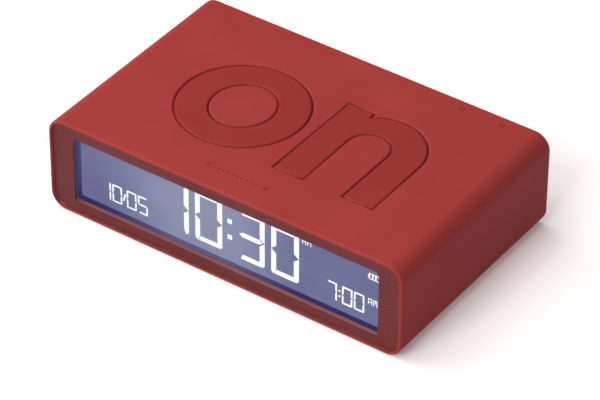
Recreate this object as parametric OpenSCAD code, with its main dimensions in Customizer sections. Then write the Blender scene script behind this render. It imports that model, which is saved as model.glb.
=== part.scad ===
// Flip alarm clock: a flat case that lies on either broad face, with a backlit LCD in its front.
// Millimetres. Origin at the centre of the base, +X to the right, +Y to the rear, +Z up.

/* [Case] */
// Width of the case, left to right
body_w = 105; // [98:0.5:120]
// Depth of the case, front to rear
body_d = 65; // [60:0.5:78]
// Height of the case, face to face
body_h = 27; // [26:0.25:32]
// Radius of the four long edges
corner_r = 4.5; // [4:0.1:6]
// Wall thickness of the sleeve
wall = 2; // [1.7:0.05:2.3]
// Rounding of the front and rear rims
edge_r = 0.55; // [0.3:0.05:0.75]
// Width of the rim around the lens and around the rear panel
rim_w = 0.85; // [0.8:0.05:1.3]
// Width of the inner flange behind the lens
flange_w = 1; // [0.7:0.05:1.2]
// Thickness of the inner flange
flange_t = 0.8; // [0.6:0.05:1.2]

/* [Letters] */
// Depth of the letter pockets
letter_depth = 0.8; // [0.5:0.05:1]
// Depth of the letter surface below the face
letter_recess = 0.05; // [0.02:0.01:0.2]
// Groove around each letter
letter_gap = 0.36; // [0.2:0.02:0.6]
// Space between neighbouring letters
letter_space = 3.3; // [2:0.05:4]
// Outer radius of the letter o
ring_r = 17.15; // [15:0.05:18]
// Stroke width of the letter o
ring_stroke = 8.4; // [7:0.05:10]
// Stroke width of the letters n and f
stem_stroke = 8.7; // [7.5:0.05:10]
// Width of the counter inside the letter n
n_counter_w = 11.5; // [10:0.1:12]
// Outer radius of the arch of the letter n
arch_r = 12.9; // [12:0.05:13.5]
// Width of the notch between the stem and the arch of the letter n
n_notch = 0.75; // [0.4:0.05:1.2]
// Outer radius of the hook of the letter f
hook_r = 11; // [10.6:0.1:12]
// Overhang of the crossbar of the letter f, each side
crossbar_reach = 3; // [2:0.1:4]
// Height of the crossbar of the letter f
crossbar_h = 7.5; // [6:0.1:9]

/* [Lens] */
// Depth of the lens face below the rim
lens_recess = 0.05; // [0.02:0.01:0.5]
// Thickness of the lens
lens_t = 0.75; // [0.5:0.05:1]
// Gap around the lens and around the rear panel
lens_gap = 0.08; // [0.04:0.01:0.15]
// Thickness of the printed mask
mask_t = 0.1; // [0.05:0.01:0.15]
// Thickness of the lens tape
tape_t = 0.15; // [0.1:0.01:0.25]
// Mask border at the left and right of the window
window_side = 7.1; // [6.5:0.05:8]
// Mask border above the window
window_top = 4.3; // [3.6:0.05:4.8]
// Mask border below the window
window_bottom = 3.45; // [3.4:0.05:4.2]
// Corner radius of the window
window_r = 1.2; // [0.6:0.1:2]

/* [Display] */
// Overlap of the display frame's lip past the mask, above and below
lip_overlap = 0.15; // [0:0.05:1]
// Setback of the display frame's lip behind the mask, left and right
lip_setback = 0.5; // [0:0.05:1]
// Thickness of the lip where the LCD rests on it
lip_t = 0.2; // [0.15:0.05:0.4]
// Side wall of the display frame
frame_side = 2.2; // [2:0.1:2.4]
// Top and bottom wall of the display frame
frame_wall = 0.6; // [0.5:0.05:0.9]
// Thickness of each LCD polariser
polariser_t = 0.2; // [0.1:0.02:0.3]
// Thickness of each LCD glass
glass_t = 0.7; // [0.5:0.05:1.1]
// Width of the contact ledge at each end of the front glass
ledge_w = 2; // [1.6:0.1:2.2]
// Thickness of the segments and of the dark border
segment_t = 0.1; // [0.05:0.01:0.15]
// Thickness of the diffuser film and of the reflector film
film_t = 0.25; // [0.1:0.05:0.4]
// Thickness of the light guide
guide_t = 3.2; // [2:0.1:3.4]
// Height of the backlight LEDs
led_h = 0.8; // [0.6:0.05:1]
// Thickness of the LED strip
strip_t = 0.3; // [0.2:0.05:0.4]
// Thickness of the display board
display_board_t = 1; // [0.8:0.1:1.6]

/* [Digits] */
// Height of the time digits
time_h = 14.8; // [12:0.1:15.5]
// Width of the time digits
time_w = 8.05; // [7:0.05:8.6]
// Upright stroke of the time digits
time_stroke = 1.38; // [1.2:0.01:1.9]
// Level stroke of the time digits
time_bar = 1.3; // [0.8:0.05:1.4]
// Height of the date and alarm digits
small_h = 5.3; // [4.4:0.1:5.6]
// Width of the date and alarm digits
small_w = 2.95; // [2.6:0.05:3.1]
// Stroke of the date and alarm digits
small_stroke = 0.42; // [0.4:0.02:0.6]
// Gap between neighbouring segments of the time digits
time_gap = 0.18; // [0.1:0.02:0.25]
// Gap between neighbouring segments of the date and alarm digits
small_gap = 0.1; // [0.06:0.02:0.14]

/* [Board] */
// Thickness of the main board
board_t = 1.2; // [1:0.1:1.6]
// Wall and floor thickness of the chassis
chassis_wall = 1.4; // [1.2:0.1:2]
// Diameter of the chassis posts
post_d = 5; // [4.4:0.1:6]
// Thread diameter of the screws
screw_d = 1.6; // [1.4:0.1:2]
// Head diameter of the screws
head_d = 3; // [2.8:0.1:3.4]
// Head height of the screws
head_h = 0.8; // [0.6:0.05:0.9]
// Thread length of the screws
screw_len = 5; // [4:0.5:5.5]
// Thickness of the battery cell
cell_t = 5; // [4:0.1:5.4]
// Width of the battery cell
cell_w = 56; // [45:1:60]
// Depth of the battery cell
cell_d = 30; // [24:1:32]

/* [Rear] */
// Depth of the rear panel below the rim
panel_recess = 0.6; // [0.5:0.05:0.8]
// Thickness of the rear panel
panel_t = 1.6; // [1.4:0.1:2]
// Distance of the minute button from the right end of the case
minute_inset = 12.1; // [11:0.1:14]
// Distance between the hour and the minute button
button_pitch = 11.8; // [9:0.1:14]
// Diameter of the button caps
button_d = 6; // [5:0.1:6.6]
// Height of the button caps above the rear panel
button_proud = 0.45; // [0.42:0.01:0.5]
// Travel of the buttons
button_travel = 0.4; // [0.3:0.02:0.4]
// Distance of the charging socket from the left end of the case
socket_inset = 19.5; // [17:0.1:26]
// Width of the socket shell
socket_w = 8.94; // [8.9:0.02:9]
// Height of the socket shell
socket_h = 3.26; // [3.2:0.02:3.3]
// Sheet thickness of the socket shell
socket_wall = 0.3; // [0.25:0.01:0.35]

/* [Tilt switch] */
// Diameter of the tilt ball
ball_d = 3.4; // [3:0.1:4]
// Travel of the tilt ball
ball_travel = 2.6; // [2:0.1:3]
// Gap between the tilt ball and its can
ball_gap = 0.1; // [0.05:0.01:0.15]

/* [Hidden] */
$fn = 96;

// Colours
case_red = [0.62, 0.13, 0.12];
letter_red = [0.55, 0.10, 0.09];
mask_red = [0.36, 0.12, 0.12];
clear = [0.85, 0.88, 0.92, 0.3];
lcd_blue = [0.35, 0.37, 0.6];
border_blue = [0.14, 0.13, 0.32];
board_green = [0.05, 0.3, 0.16];
black = [0.06, 0.06, 0.07];
steel = [0.75, 0.76, 0.78];
gold = [0.8, 0.65, 0.3];
white = [0.95, 0.95, 0.95];

// Small fits and the overshoot of a cut past a face
cut = 1;
fit = 0.1;
slip = 0.3;

// Case planes and outlines
front_y = -body_d / 2;
rear_y = body_d / 2;
mid_z = body_h / 2;
pocket_w = body_w - 2 * rim_w;
pocket_h = body_h - 2 * rim_w;
pocket_r = corner_r - rim_w;
cavity_w = body_w - 2 * wall;
cavity_h = body_h - 2 * wall;
cavity_r = corner_r - wall;
opening_w = cavity_w - 2 * flange_w;
opening_h = cavity_h - 2 * flange_w;
opening_r = cavity_r - flange_w;

// Depths of the lens and display stack, counted from the front
lens_front = front_y + lens_recess;
lens_back = lens_front + lens_t;
mask_back = lens_back + mask_t;
shoulder_front = mask_back + tape_t;
flange_back = shoulder_front + flange_t;
lip_back = flange_back + lip_t;
front_glass_y = lip_back + polariser_t;
segment_y = front_glass_y + glass_t;
rear_glass_y = segment_y + segment_t;
rear_polariser_y = rear_glass_y + glass_t;
diffuser_y = rear_polariser_y + polariser_t;
guide_y = diffuser_y + film_t;
reflector_y = guide_y + guide_t;
frame_back = reflector_y + film_t;
chassis_front = frame_back + display_board_t;
panel_face = rear_y - panel_recess;
panel_front = panel_face - panel_t;

// Lens, window and LCD outlines
lens_w = pocket_w - 2 * lens_gap;
lens_h = pocket_h - 2 * lens_gap;
lens_r = pocket_r - lens_gap;
tape_margin = 0.2;
window_w = body_w - 2 * window_side;
window_h = body_h - window_top - window_bottom;
window_z = (window_bottom - window_top) / 2;
lip_w = window_w + 2 * lip_setback;
lip_h = window_h - 2 * lip_overlap;
frame_w = cavity_w - 2 * fit;
frame_h = cavity_h - 2 * fit;
frame_r = cavity_r - fit;
stack_w = frame_w - 2 * frame_side;
stack_h = frame_h - 2 * frame_wall;
glass_w = stack_w - 2 * fit;
glass_h = stack_h - 2 * fit;
rear_glass_w = glass_w - 2 * ledge_w;
film_inset = 0.4;
light_side = 0.55;
light_edge = 1.38;
light_w = window_w - 2 * light_side;
light_h = glass_h - 2 * light_edge;
light_r = 0.6;
pin_d = 1.2;
pin_inset = 4;
pin_z = frame_h / 2 - pin_inset;
pin_x = frame_w / 2 - frame_side / 2;
led_w = 3;
led_count = 5;
led_pitch = rear_glass_w / led_count;
strip_z = mid_z - glass_h / 2;
led_z = strip_z + strip_t;
guide_z = led_z + led_h;
guide_h = mid_z + glass_h / 2 - guide_z;

// Letter layout, drawn on the face as seen from above
baseline_y = -16.9;
stem_top_y = 15.3;
ring_y = -0.85;
arch_y = 3.35;
counter_y = 2.45;
n_w = 2 * stem_stroke + n_counter_w;
on_w = 2 * ring_r + letter_space + n_w;
on_left = -on_w / 2;
n_left = on_left + 2 * ring_r + letter_space;
hook_tip = 3;
hook_y = 15;
crossbar_y = 7;
f_w = hook_r + hook_tip;
off_w = 2 * ring_r + 2 * (letter_space + crossbar_reach + f_w);
off_left = -off_w / 2;
f_near_left = off_left + 2 * ring_r + letter_space + crossbar_reach;
f_far_left = f_near_left + f_w + letter_space + crossbar_reach;

// Digit layout on the LCD, from its centre: two cells each side of a split at x
function cells(x, w, space, split) = [
    x - split / 2 - 1.5 * w - space, x - split / 2 - 0.5 * w,
    x + split / 2 + 0.5 * w, x + split / 2 + 1.5 * w + space
];
tip_share = 0.4;
lean_share = 0.4;
point_share = 0.3;
notch_share = 0.9;
time_x = 0.52;
time_z = 0.5;
time_space = 2.02;
time_split = 4.57;
colon_dot = 1.28;
colon_rise = 2.4;
small_z = -4.22;
small_space = 0.5;
small_split = 1.5;
small_colon_rise = 0.8;
date_inset = 13.3;
date_x = -light_w / 2 + date_inset;
alarm_inset = 12.05;
alarm_x = light_w / 2 - alarm_inset;
slash_lean = 0.55;
slash_rise = 1.1;
mark_h = 1.8;
mark_w = 1.12;
mark_stroke = 0.17;
mark_space = 0.36;
mark_bar_z = 0.7;
time_mark = [21.87, 5.98];
alarm_mark_inset = 3.8;
alarm_mark = [light_w / 2 - alarm_mark_inset, -3.47];
battery_inset = 2.2;
battery_mark = [light_w / 2 - battery_inset, 5.13];
battery_mark_w = 3;
battery_mark_h = 1.7;
battery_bars = 2;
battery_bar_w = 0.36;
battery_nub_w = 0.5;

// Chassis and main board
chassis_w = cavity_w - 2 * slip;
chassis_h = cavity_h - 2 * slip;
chassis_r = cavity_r - slip;
chassis_inner_w = chassis_w - 2 * chassis_wall;
floor_z = wall + slip;
floor_top = floor_z + chassis_wall;
board_top = mid_z - socket_h / 2;
board_z = board_top - board_t;
board_w = chassis_inner_w - 2 * slip;
board_setback = 2;
board_front = chassis_front + board_setback;
pilot_d = screw_d + fit;
post_inset = 5;
post_x = board_w / 2 - post_inset;
post_front = board_front + post_inset;
boss_size = 5;
boss_len = 9;
boss_x = chassis_w / 2 - boss_size / 2;
boss_rise = chassis_h / 2 - boss_size / 2;

// Rear controls
minute_x = body_w / 2 - minute_inset;
hour_x = minute_x - button_pitch;
cap_flange_w = 0.6;
cap_flange_t = 0.8;
cap_play = 0.05;
cap_front = panel_front - cap_play - cap_flange_t;
plunger_len = 0.8;
plunger_d = 1.8;
plunger_depth = 0.9;
switch_face = cap_front - plunger_len;
switch_w = 6;
switch_d = 3.5;
board_rear = switch_face;
post_rear_inset = 9;
post_rear = board_rear - post_rear_inset;
socket_x = -body_w / 2 + socket_inset;
socket_len = 7.3;
socket_setback = 0.2;
socket_mouth = panel_face - socket_setback;
socket_back = socket_mouth - socket_len;
socket_inner_w = socket_w - 2 * socket_wall;
socket_inner_h = socket_h - 2 * socket_wall;
socket_block = 2.4;
tongue_w = 6.7;
tongue_t = 0.7;
tongue_setback = 0.8;
sound_hole_d = 1.2;
sound_hole_pitch = 2.6;
sound_hole_count = 5;
counterbore_d = head_d + slip;
counterbore_depth = head_h + fit;
recess_d = 1.3;
recess_depth = 0.4;

// Pieces on the board
tape_pad_t = 0.3;
cell_z = floor_top + tape_pad_t;
cell_y = 3;
cell_r = 2;
tab_w = 4;
tab_t = 0.2;
tab_inset = 12;
tab_x = cell_w / 2 - tab_inset;
chip_w = 10;
chip_h = 1.4;
chip_x = -6;
chip_y = 10;
charger_w = 4;
charger_h = 0.9;
charger_y = 12;
crystal_len = 6;
crystal_d = 2;
crystal_x = -18;
crystal_y = 12;
buzzer_d = 22;
buzzer_h = 4;
buzzer_wall = 1.2;
buzzer_inset = 30.5;
buzzer_x = board_w / 2 - buzzer_inset;
buzzer_y = 4;
disc_t = 0.4;
can_wall = 0.8;
can_inset = 22.5;
can_x = -board_w / 2 + can_inset;
can_y = -6;
can_r = ball_d / 2 + ball_gap + can_wall;
can_chamber = ball_d + ball_travel + 2 * ball_gap;
can_h = can_chamber + 2 * can_wall;
ball_z = board_top + can_wall + ball_gap + ball_d / 2;
plate_t = 0.2;
plate_side = 6;
plate_end = 5;
plate_w = chassis_inner_w - 2 * plate_side;
plate_d = panel_front - chassis_front - 2 * plate_end;
plate_y = (panel_front + chassis_front) / 2;
foam_w = 5;
foam_inset = 6.8;
foam_x = plate_w / 2 - foam_inset;
top_foam_y = -6;
bottom_foam_y = 4;
connector_w = 16;
connector_t = 1.2;
connector_d = 4;
connector_rise = 4.6;
ribbon_w = 14;
ribbon_t = 0.2;
ribbon_bend = 2;

// Outlines

module rounded_rect(w, h, r) {
    square([w, h - 2 * r], center = true);
    square([w - 2 * r, h], center = true);
    for (sx = [-1, 1], sy = [-1, 1])
        translate([sx * (w / 2 - r), sy * (h / 2 - r)])
            circle(r);
}

module obround(w, h) {
    square([w - h, h], center = true);
    for (sx = [-1, 1])
        translate([sx * (w - h) / 2, 0])
            circle(h / 2);
}

// Carries an outline drawn in X and Z, about the middle of the case, from depth y0 to depth y1
module along_y(y0, y1) {
    translate([0, y1, mid_z])
        rotate([90, 0, 0])
            linear_extrude(y1 - y0)
                children();
}

// Carries an outline drawn in X and Y from height z0 to height z1
module along_z(z0, z1) {
    translate([0, 0, z0])
        linear_extrude(z1 - z0)
            children();
}

// A round bar along Y, centred at x and at height z, from depth y0 to depth y1
module bar_y(x, z, d, y0, y1) {
    translate([x, y1, z])
        rotate([90, 0, 0])
            cylinder(h = y1 - y0, d = d);
}

// Turns a piece of the top face over to the underside
module turned_over() {
    translate([0, 0, body_h])
        rotate([0, 180, 0])
            children();
}

// Letters, each grown by g all round

module letter_o(left, g) {
    translate([left + ring_r, ring_y])
        difference() {
            circle(ring_r + g);
            circle(ring_r - ring_stroke - g);
        }
}

module letter_n(left, g) {
    right = left + n_w;
    stem_right = left + stem_stroke;
    counter_r = n_counter_w / 2;
    difference() {
        union() {
            translate([left - g, baseline_y - g])
                square([stem_stroke - n_notch + 2 * g, stem_top_y - baseline_y + 2 * g]);
            translate([left - g, baseline_y - g])
                square([n_w + 2 * g, arch_y - baseline_y + g]);
            intersection() {
                translate([right - arch_r, arch_y])
                    circle(arch_r + g);
                translate([left + stem_stroke / 2, arch_y])
                    square([n_w, arch_r + cut]);
            }
        }
        translate([stem_right + counter_r, counter_y])
            circle(counter_r - g);
        translate([stem_right + g, baseline_y - g - cut])
            square([n_counter_w - 2 * g, counter_y - baseline_y + g + cut]);
    }
}

module letter_f(left, g) {
    hook_x = left + hook_r;
    translate([left - g, baseline_y - g])
        square([stem_stroke + 2 * g, hook_y - baseline_y + g]);
    translate([left - crossbar_reach - g, crossbar_y - g])
        square([stem_stroke + 2 * crossbar_reach + 2 * g, crossbar_h + 2 * g]);
    translate([hook_x, hook_y])
        intersection() {
            difference() {
                circle(hook_r + g);
                circle(hook_r - stem_stroke - g);
            }
            translate([-hook_r - cut, 0])
                square([hook_r + cut, hook_r + cut]);
        }
    translate([hook_x, hook_y + hook_r - stem_stroke - g])
        square([hook_tip + g, stem_stroke + 2 * g]);
}

// A letter inlay that rests on the floor of its pocket in the top face
module inlay() {
    along_z(body_h - letter_depth, body_h - letter_recess)
        children();
}

// The pocket that holds an inlay
module inlay_pocket() {
    along_z(body_h - letter_depth, body_h + cut)
        children();
}

// Case

// Solid block of the case, with round long edges and rounded rims
module case_block() {
    translate([-body_w / 2 + corner_r, 0, mid_z])
        rotate([90, 0, 90])
            linear_extrude(body_w - 2 * corner_r)
                rounded_rect(body_d, body_h, edge_r);
    along_z(corner_r, body_h - corner_r)
        rounded_rect(body_w, body_d, edge_r);
    for (sx = [-1, 1], sz = [-1, 1])
        translate([sx * (body_w / 2 - corner_r), 0, mid_z + sz * (body_h / 2 - corner_r)])
            rotate([90, 0, 0])
                rotate_extrude()
                    intersection() {
                        rounded_rect(2 * corner_r, body_d, edge_r);
                        translate([0, -body_d / 2])
                            square([corner_r, body_d]);
                    }
}

module outer_sleeve() {
    color(case_red)
        difference() {
            case_block();
            along_y(front_y - cut, shoulder_front)
                rounded_rect(pocket_w, pocket_h, pocket_r);
            along_y(shoulder_front - cut, rear_y)
                rounded_rect(opening_w, opening_h, opening_r);
            along_y(flange_back, rear_y)
                rounded_rect(cavity_w, cavity_h, cavity_r);
            along_y(panel_front, rear_y + cut)
                rounded_rect(pocket_w, pocket_h, pocket_r);
            inlay_pocket()
                letter_o(on_left, letter_gap / 2);
            inlay_pocket()
                letter_n(n_left, letter_gap / 2);
            turned_over()
                inlay_pocket()
                    letter_o(off_left, letter_gap / 2);
            for (left = [f_near_left, f_far_left])
                turned_over()
                    inlay_pocket()
                        letter_f(left, letter_gap / 2);
        }
}

module on_letter_o() {
    color(letter_red)
        inlay()
            letter_o(on_left, -letter_gap / 2);
}

module on_letter_n() {
    color(letter_red)
        inlay()
            letter_n(n_left, -letter_gap / 2);
}

module off_letter_o() {
    color(letter_red)
        turned_over()
            inlay()
                letter_o(off_left, -letter_gap / 2);
}

module off_letter_f_near() {
    color(letter_red)
        turned_over()
            inlay()
                letter_f(f_near_left, -letter_gap / 2);
}

module off_letter_f_far() {
    color(letter_red)
        turned_over()
            inlay()
                letter_f(f_far_left, -letter_gap / 2);
}

// Lens

module front_lens() {
    color(clear)
        along_y(lens_front, lens_back)
            rounded_rect(lens_w, lens_h, lens_r);
}

module lens_mask() {
    color(mask_red)
        along_y(lens_back, mask_back)
            difference() {
                rounded_rect(lens_w, lens_h, lens_r);
                translate([0, window_z])
                    rounded_rect(window_w, window_h, window_r);
            }
}

module lens_tape() {
    color(black)
        along_y(mask_back, shoulder_front)
            difference() {
                rounded_rect(lens_w - 2 * tape_margin, lens_h - 2 * tape_margin, lens_r - tape_margin);
                rounded_rect(
                    opening_w + 2 * tape_margin, opening_h + 2 * tape_margin, opening_r + tape_margin
                );
            }
}

// Display

// Frame with a spigot that passes the flange, a lip in front of the LCD and pins for the display board
module display_frame() {
    color(case_red)
        union() {
            difference() {
                union() {
                    along_y(shoulder_front, flange_back + fit)
                        rounded_rect(opening_w - 2 * fit, opening_h - 2 * fit, opening_r - fit);
                    along_y(flange_back, frame_back)
                        rounded_rect(frame_w, frame_h, frame_r);
                }
                along_y(shoulder_front - cut, lip_back + cut)
                    translate([0, window_z])
                        rounded_rect(lip_w, lip_h, window_r);
                along_y(lip_back, frame_back + cut)
                    square([stack_w, stack_h], center = true);
            }
            for (sx = [-1, 1], sz = [-1, 1])
                bar_y(sx * pin_x, mid_z + sz * pin_z, pin_d, frame_back - fit, chassis_front);
        }
}

module front_polariser() {
    color([0.3, 0.3, 0.36, 0.4])
        along_y(lip_back, front_glass_y)
            square([glass_w - 2 * film_inset, glass_h - 2 * film_inset], center = true);
}

module lcd_front_glass() {
    color(clear)
        along_y(front_glass_y, segment_y)
            square([glass_w, glass_h], center = true);
}

module lcd_border() {
    color(border_blue)
        along_y(segment_y, rear_glass_y)
            difference() {
                square([rear_glass_w, glass_h], center = true);
                rounded_rect(light_w, light_h, light_r);
            }
}

// Right upper stroke of a digit cell, with a bevelled and mitred top end and a notched lower end
module upright(w, h, s, b, gap) {
    tip = s * tip_share;
    lean = s * lean_share;
    notch = b * notch_share;
    polygon([
        [w / 2, gap / 2], [w / 2, h / 2 - tip], [w / 2 - tip, h / 2], [w / 2 - s + lean, h / 2],
        [w / 2 - s, h / 2 - b], [w / 2 - s, notch]
    ]);
}

module top_bar(w, h, s, b, gap) {
    root = s + gap;
    tip = root - s * lean_share;
    polygon([
        [-w / 2 + tip, h / 2], [w / 2 - tip, h / 2],
        [w / 2 - root, h / 2 - b], [-w / 2 + root, h / 2 - b]
    ]);
}

module middle_bar(w, s, b, gap) {
    tip = s * point_share + gap;
    root = s + gap;
    polygon([
        [-w / 2 + tip, 0], [-w / 2 + root, b / 2], [w / 2 - root, b / 2],
        [w / 2 - tip, 0], [w / 2 - root, -b / 2], [-w / 2 + root, -b / 2]
    ]);
}

// One seven-segment digit about the centre of its cell
module digit(value, w, h, s, b, gap) {
    lit = ["abcdef", "bc", "abged", "abgcd", "fgbc", "afgcd", "afgedc", "abc", "abcdefg", "abcdfg"][value];
    for (name = lit) {
        if (name == "a") top_bar(w, h, s, b, gap);
        if (name == "d") mirror([0, 1]) top_bar(w, h, s, b, gap);
        if (name == "g") middle_bar(w, s, b, gap);
        if (name == "b") upright(w, h, s, b, gap);
        if (name == "c") mirror([0, 1]) upright(w, h, s, b, gap);
        if (name == "f") mirror([1, 0]) upright(w, h, s, b, gap);
        if (name == "e") rotate(180) upright(w, h, s, b, gap);
    }
}

// A row of digits in the cells of one layout, where undef leaves a cell dark
module digit_row(values, places, w, h, s, b, gap) {
    for (i = [0 : len(values) - 1])
        if (values[i] != undef)
            translate([places[i], 0])
                digit(values[i], w, h, s, b, gap);
}

module small_row(values, x) {
    translate([0, small_z])
        digit_row(values, cells(x, small_w, small_space, small_split),
            small_w, small_h, small_stroke, small_stroke, small_gap);
}

module colon(x, z, dot, rise) {
    for (sz = [-1, 1])
        translate([x, z + sz * rise])
            square(dot, center = true);
}

module slash(x, z) {
    translate([x - small_stroke / 2, z])
        polygon([
            [-slash_lean / 2, -slash_rise], [small_stroke - slash_lean / 2, -slash_rise],
            [small_stroke + slash_lean / 2, slash_rise], [slash_lean / 2, slash_rise]
        ]);
}

// The two morning letters, from the lower left corner of the first
module morning_mark(place) {
    pitch = mark_w + mark_space;
    translate(place) {
        for (dx = [0, mark_w - mark_stroke, pitch, pitch + mark_w - mark_stroke])
            translate([dx, 0])
                square([mark_stroke, mark_h]);
        for (dx = [0, pitch])
            translate([dx, mark_h - mark_stroke])
                square([mark_w, mark_stroke]);
        translate([0, mark_bar_z])
            square([mark_w, mark_stroke]);
        translate([pitch + mark_w / 2 - mark_stroke / 2, mark_bar_z])
            square([mark_stroke, mark_h - mark_bar_z]);
    }
}

// Battery sign: outline with bars and a nub at its left
module battery_sign() {
    inner_w = battery_mark_w - 2 * mark_stroke;
    inner_h = battery_mark_h - 2 * mark_stroke;
    bar_pitch = inner_w / (battery_bars + 1);
    translate(battery_mark) {
        difference() {
            square([battery_mark_w, battery_mark_h], center = true);
            square([inner_w, inner_h], center = true);
        }
        translate([-battery_mark_w / 2, 0])
            square([battery_nub_w, battery_mark_h / 2], center = true);
        for (i = [0 : battery_bars - 1])
            translate([-inner_w / 2 + (i + 1) * bar_pitch, 0])
                square([battery_bar_w, inner_h - mark_stroke], center = true);
    }
}

module lcd_segments() {
    color(white)
        along_y(segment_y, rear_glass_y) {
            translate([0, time_z])
                digit_row([1, 0, 3, 0], cells(time_x, time_w, time_space, time_split),
                    time_w, time_h, time_stroke, time_bar, time_gap);
            colon(time_x, time_z, colon_dot, colon_rise);
            small_row([1, 0, 0, 5], date_x);
            slash(date_x, small_z);
            small_row([undef, 7, 0, 0], alarm_x);
            colon(alarm_x, small_z, small_stroke, small_colon_rise);
            morning_mark(time_mark);
            morning_mark(alarm_mark);
            battery_sign();
        }
}

module lcd_rear_glass() {
    color(lcd_blue)
        along_y(rear_glass_y, rear_polariser_y)
            square([rear_glass_w, glass_h], center = true);
}

module rear_polariser() {
    color([0.3, 0.3, 0.36, 0.4])
        along_y(rear_polariser_y, diffuser_y)
            square([rear_glass_w - 2 * film_inset, glass_h - 2 * film_inset], center = true);
}

module diffuser_film() {
    color(white)
        along_y(diffuser_y, guide_y)
            square([rear_glass_w, glass_h], center = true);
}

module light_guide() {
    color(clear)
        along_y(guide_y, reflector_y)
            translate([-rear_glass_w / 2, guide_z - mid_z])
                square([rear_glass_w, guide_h]);
}

module reflector_film() {
    color(white)
        along_y(reflector_y, frame_back)
            square([rear_glass_w, glass_h], center = true);
}

module led_strip() {
    color(white)
        along_y(guide_y, reflector_y)
            translate([-rear_glass_w / 2, strip_z - mid_z])
                square([rear_glass_w, strip_t]);
}

module backlight_leds() {
    color([1, 0.95, 0.7])
        along_y(guide_y + film_t, reflector_y - film_t)
            for (i = [0 : led_count - 1])
                translate([(i - (led_count - 1) / 2) * led_pitch - led_w / 2, led_z - mid_z])
                    square([led_w, led_h]);
}

module zebra_strips() {
    strip_w = ledge_w - 2 * fit;
    color(black)
        along_y(segment_y, frame_back)
            for (sx = [-1, 1])
                translate([sx * (glass_w / 2 - ledge_w / 2), 0])
                    square([strip_w, glass_h - 2 * film_inset], center = true);
}

module display_board() {
    color(board_green)
        difference() {
            along_y(frame_back, chassis_front)
                rounded_rect(frame_w, frame_h, frame_r);
            for (sx = [-1, 1], sz = [-1, 1])
                bar_y(sx * pin_x, mid_z + sz * pin_z, pin_d + fit, frame_back - cut, chassis_front + cut);
        }
}

// One connector on the display board, one on the main board
module ribbon_connectors() {
    color(white)
        union() {
            translate([-connector_w / 2, chassis_front, board_top + connector_rise - connector_t])
                cube([connector_w, connector_t, 2 * connector_t]);
            translate([-connector_w / 2, board_front + connector_t, board_top])
                cube([connector_w, connector_d, connector_t]);
        }
}

// Flat ribbon that leaves the display board level and bends down into the main board's connector
module display_ribbon() {
    start_y = chassis_front + connector_t;
    drop_y = board_front + connector_t + connector_d / 2;
    level_z = board_top + connector_rise;
    foot_z = board_top + connector_t;
    color(gold)
        translate([-ribbon_w / 2, 0, 0])
            rotate([90, 0, 90])
                linear_extrude(ribbon_w) {
                    translate([start_y, level_z - ribbon_t])
                        square([drop_y - ribbon_bend - start_y, ribbon_t]);
                    translate([drop_y - ribbon_t, foot_z])
                        square([ribbon_t, level_z - ribbon_bend - foot_z]);
                    translate([drop_y - ribbon_bend, level_z - ribbon_bend])
                        intersection() {
                            difference() {
                                circle(ribbon_bend);
                                circle(ribbon_bend - ribbon_t);
                            }
                            square(ribbon_bend + cut);
                        }
                }
}

// Chassis and board

module post_places() {
    for (sx = [-1, 1], y = [post_front, post_rear])
        translate([sx * post_x, y, 0])
            children();
}

// Tray that slides into the sleeve, with board posts and bosses for the rear screws
module chassis() {
    color(black)
        difference() {
            union() {
                along_y(chassis_front, panel_front)
                    difference() {
                        rounded_rect(chassis_w, chassis_h, chassis_r);
                        translate([-chassis_inner_w / 2, -chassis_h / 2 + chassis_wall])
                            square([chassis_inner_w, chassis_h + cut]);
                    }
                post_places()
                    along_z(floor_top - fit, board_z)
                        circle(d = post_d);
                along_y(panel_front - boss_len, panel_front)
                    intersection() {
                        rounded_rect(chassis_w, chassis_h, chassis_r);
                        for (sx = [-1, 1], sz = [-1, 1])
                            translate([sx * boss_x, sz * boss_rise])
                                square(boss_size, center = true);
                    }
            }
            post_places()
                along_z(board_z - screw_len, board_z + cut)
                    circle(d = pilot_d);
            for (sx = [-1, 1], sz = [-1, 1])
                bar_y(sx * boss_x, mid_z + sz * boss_rise, pilot_d,
                    panel_front - screw_len, panel_front + cut);
            translate([foam_x, bottom_foam_y, 0])
                along_z(floor_z - cut, floor_top + cut)
                    square(foam_w + 2 * slip, center = true);
        }
}

module main_board() {
    color(board_green)
        difference() {
            translate([-board_w / 2, board_front, board_z])
                cube([board_w, board_rear - board_front, board_t]);
            post_places()
                along_z(board_z - cut, board_top + cut)
                    circle(d = pilot_d);
        }
}

// A pan-head screw with a hexagon recess, its head's seat at the origin and its head upward
module screw(length) {
    difference() {
        union() {
            cylinder(h = head_h, d = head_d);
            translate([0, 0, -length])
                cylinder(h = length + fit, d = screw_d);
        }
        translate([0, 0, head_h - recess_depth])
            cylinder(h = recess_depth + cut, d = recess_d, $fn = 6);
    }
}

module board_screws() {
    color(steel)
        post_places()
            translate([0, 0, board_top])
                screw(screw_len);
}

module on_board(x, y) {
    translate([x, y, board_top])
        children();
}

module controller_chip() {
    color(black)
        on_board(chip_x - chip_w / 2, chip_y - chip_w / 2)
            cube([chip_w, chip_w, chip_h]);
}

module charger_chip() {
    color(black)
        on_board(socket_x - charger_w / 2, charger_y - charger_w / 2)
            cube([charger_w, charger_w, charger_h]);
}

// Tuning-fork crystal in a round can that lies on the board
module clock_crystal() {
    color(steel)
        bar_y(crystal_x, board_top + crystal_d / 2, crystal_d,
            crystal_y - crystal_len / 2, crystal_y + crystal_len / 2);
}

// Charging socket

module socket_shell() {
    color(steel)
        translate([socket_x, 0, 0])
            along_y(socket_back, socket_mouth)
                difference() {
                    obround(socket_w, socket_h);
                    obround(socket_inner_w, socket_inner_h);
                }
}

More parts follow.
